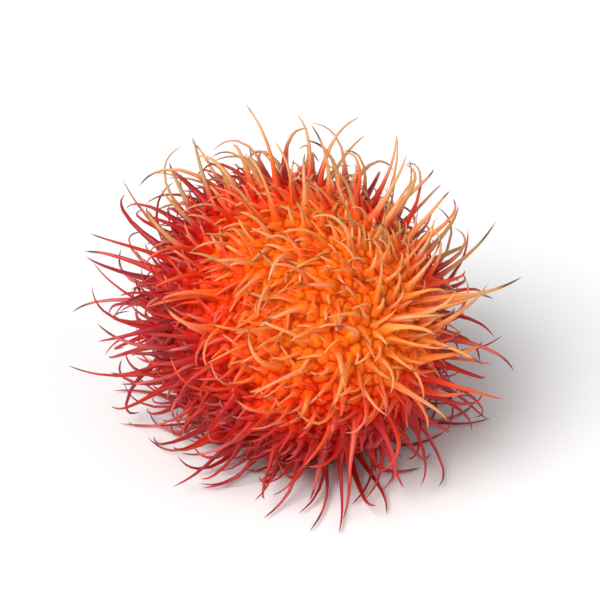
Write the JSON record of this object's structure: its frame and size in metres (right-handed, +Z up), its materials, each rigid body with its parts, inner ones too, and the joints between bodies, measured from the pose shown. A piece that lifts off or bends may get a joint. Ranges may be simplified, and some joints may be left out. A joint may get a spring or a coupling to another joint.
{
  "type": "whole rambutan",
  "caption": "Whole rambutan fruit as picked, an egg-shaped leathery rind covered in soft hooked spines, lying on its side on a small flat spot.",
  "frame": {"origin": "middle of the small flat spot that the fruit rests on", "axes": "+X along the fruit from its stem end to its tip, +Z up from the surface that it rests on"},
  "size_m": [0.0674, 0.0647, 0.049],
  "materials": {
    "spiny_rind": "satin, orange to deep red, spines paler towards their tips"
  },
  "bodies": {
    "root": {"rambutan_fruit": "spiny_rind"}
  },
  "joints": []
}
